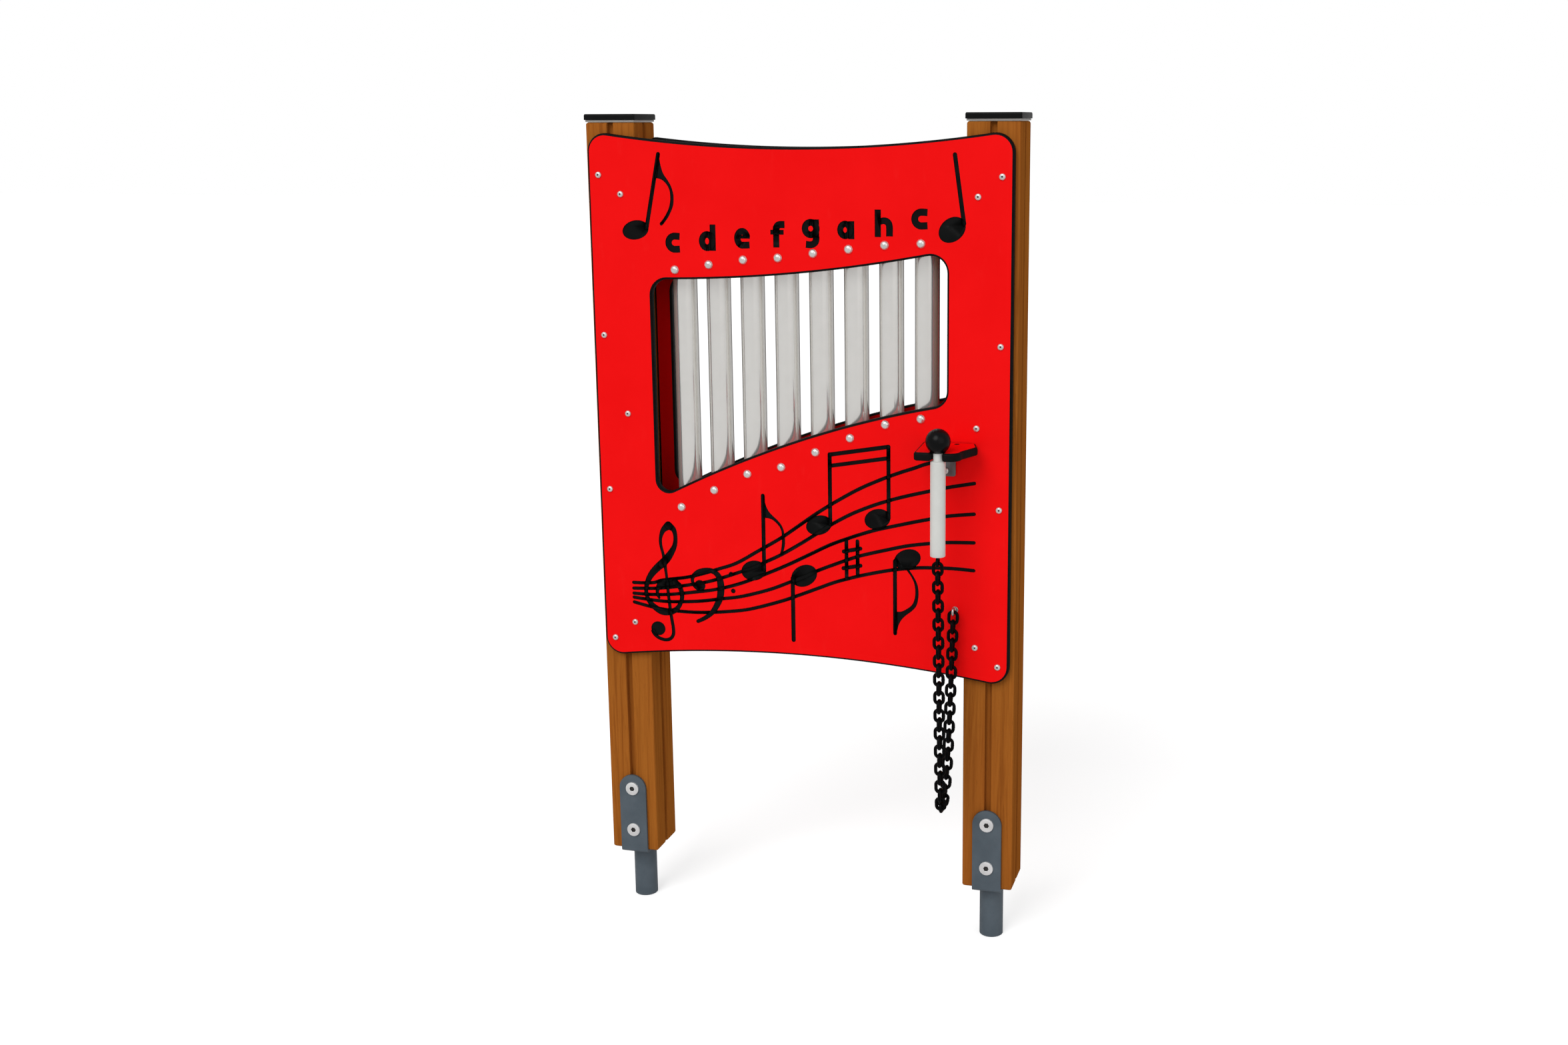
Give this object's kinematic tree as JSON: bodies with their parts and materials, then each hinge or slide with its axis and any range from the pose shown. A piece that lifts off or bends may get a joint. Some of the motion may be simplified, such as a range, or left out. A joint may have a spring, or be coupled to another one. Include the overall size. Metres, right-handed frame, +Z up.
{
  "type": "xylophone play panel",
  "caption": "Upright outdoor music panel: tuned metal tubes in a window between two bow-edged sheets on timber posts, with a mallet on a chain and a shelf for it.",
  "frame": {"origin": "on the ground, midway between the two posts' centre lines", "axes": "+X to the player's right along the panel, +Y away from the player through the panel, +Z up"},
  "size_m": [0.8148, 0.2341, 1.5475],
  "materials": {
    "timber": "clear-stained laminated softwood, satin, with fine grain",
    "cap_plastic": "black moulded plastic, satin",
    "anchor_steel": "blue-grey coated steel, satin",
    "pale_zinc": "pale zinc-plated steel, satin",
    "front_sheet": "red skins over a black core, finely textured semi-gloss sheet",
    "back_sheet": "red skins over a black core, finely textured semi-gloss sheet",
    "screw_steel": "plain steel, semi-bright",
    "chime_aluminium": "satin natural aluminium tube",
    "bolt_steel": "plain steel, semi-bright",
    "shelf_sheet": "red skins over a black core, finely textured semi-gloss sheet",
    "dark_screw": "black screws, satin",
    "bracket_steel": "plain steel angle, satin",
    "bracket_screw_steel": "plain steel, semi-bright",
    "eye_steel": "plain steel, semi-bright",
    "ball_rubber": "hard black rubber, satin",
    "handle_plastic": "pale grey rod, satin",
    "chain_black": "black coated steel, satin"
  },
  "bodies": {
    "frame": {"post_left": "timber", "post_cap_left": "cap_plastic", "ground_anchor_left": "anchor_steel", "anchor_bolt_left_upper": "pale_zinc", "anchor_bolt_left_lower": "pale_zinc", "post_right": "timber", "post_cap_right": "cap_plastic", "ground_anchor_right": "anchor_steel", "anchor_bolt_right_upper": "pale_zinc", "anchor_bolt_right_lower": "pale_zinc", "front_panel": "front_sheet", "back_panel": "back_sheet", "panel_screw_01": "screw_steel", "panel_screw_02": "screw_steel", "panel_screw_03": "screw_steel", "panel_screw_04": "screw_steel", "panel_screw_05": "screw_steel", "panel_screw_06": "screw_steel", "panel_screw_07": "screw_steel", "panel_screw_08": "screw_steel", "panel_screw_09": "screw_steel", "panel_screw_10": "screw_steel", "panel_screw_11": "screw_steel", "panel_screw_12": "screw_steel", "panel_screw_13": "screw_steel", "panel_screw_14": "screw_steel", "chime_1": "chime_aluminium", "chime_bolt_1_upper": "bolt_steel", "chime_bolt_1_lower": "bolt_steel", "chime_2": "chime_aluminium", "chime_bolt_2_upper": "bolt_steel", "chime_bolt_2_lower": "bolt_steel", "chime_3": "chime_aluminium", "chime_bolt_3_upper": "bolt_steel", "chime_bolt_3_lower": "bolt_steel", "chime_4": "chime_aluminium", "chime_bolt_4_upper": "bolt_steel", "chime_bolt_4_lower": "bolt_steel", "chime_5": "chime_aluminium", "chime_bolt_5_upper": "bolt_steel", "chime_bolt_5_lower": "bolt_steel", "chime_6": "chime_aluminium", "chime_bolt_6_upper": "bolt_steel", "chime_bolt_6_lower": "bolt_steel", "chime_7": "chime_aluminium", "chime_bolt_7_upper": "bolt_steel", "chime_bolt_7_lower": "bolt_steel", "chime_8": "chime_aluminium", "chime_bolt_8_upper": "bolt_steel", "chime_bolt_8_lower": "bolt_steel", "mallet_shelf": "shelf_sheet", "shelf_screw_left": "dark_screw", "shelf_screw_right": "dark_screw", "shelf_bracket": "bracket_steel", "bracket_screw": "bracket_screw_steel", "chain_eye_bolt": "eye_steel"},
    "mallet": {"mallet_ball": "ball_rubber", "mallet_handle": "handle_plastic"},
    "front_strand": {"chain_front": "chain_black"},
    "rear_strand": {"chain_rear": "chain_black"}
  },
  "joints": [
    {"name": "mallet_pull", "type": "slide", "parent": "frame", "child": "mallet", "axis": [0, -1, 0], "range_m": [0, 0.06]},
    {"name": "front_strand_swing", "type": "hinge", "parent": "mallet", "child": "front_strand", "pos_m": [0.2859, -0.1552, 0.77025], "axis": [1, 0, 0], "range_deg": [0, 5]},
    {"name": "rear_strand_swing", "type": "hinge", "parent": "frame", "child": "rear_strand", "pos_m": [0.297, -0.078, 0.65955], "axis": [1, 0, 0], "range_deg": [-3.6, 0]}
  ],
  "couplings": [
    {"joint": "front_strand_swing", "follows": "mallet_pull", "rad_per_m": 1.43},
    {"joint": "rear_strand_swing", "follows": "mallet_pull", "rad_per_m": -1.02}
  ]
}
